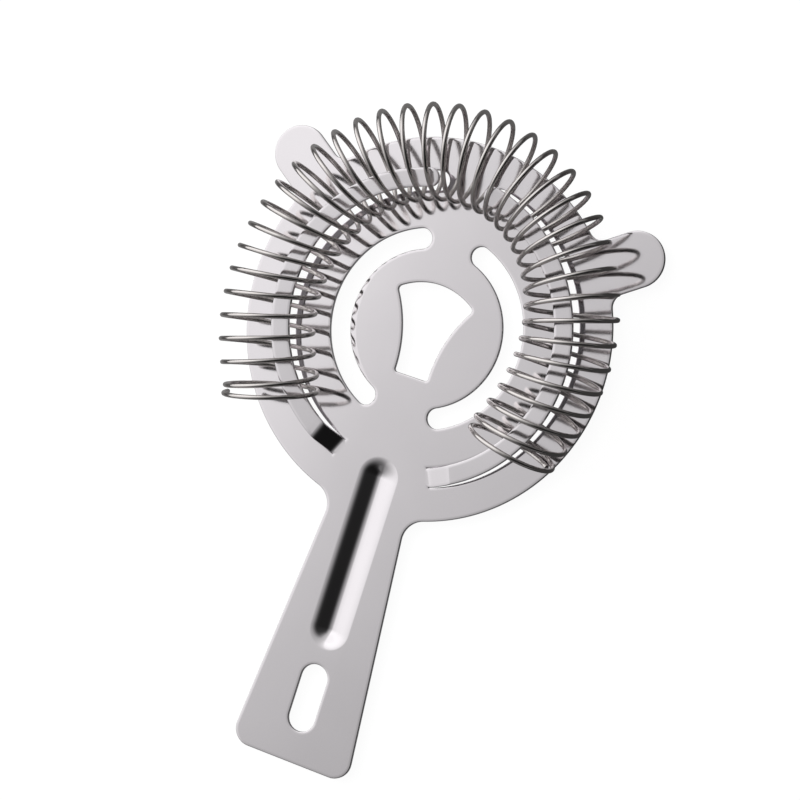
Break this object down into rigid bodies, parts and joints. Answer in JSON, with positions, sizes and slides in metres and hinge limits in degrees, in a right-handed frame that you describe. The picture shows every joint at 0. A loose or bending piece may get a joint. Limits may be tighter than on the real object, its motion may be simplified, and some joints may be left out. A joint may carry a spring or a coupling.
{
  "type": "hawthorne strainer",
  "caption": "Flat bar strainer: a pressed steel disc with ears, arc slots and a tapered hanging handle, edged by a loose wire spring that closes a shaker's mouth.",
  "frame": {"origin": "centre of the disc on its spring side", "axes": "+Y away from the handle, +Z out of the spring side, +X to the right when seen from the spring side with the handle down"},
  "size_m": [0.093, 0.1493, 0.0236],
  "materials": {
    "pressed_steel": "stamped stainless sheet, tumble polished to a soft mirror",
    "spring_wire": "bright drawn stainless spring wire"
  },
  "bodies": {
    "plate": {"strainer_plate": "pressed_steel"},
    "spring": {"coil_spring": "spring_wire"}
  },
  "joints": [
    {"name": "spring_turn", "type": "hinge", "parent": "plate", "child": "spring", "pos_m": [0, 0, 0], "axis": [0, 0, 1], "range_deg": [-18, 12]}
  ]
}
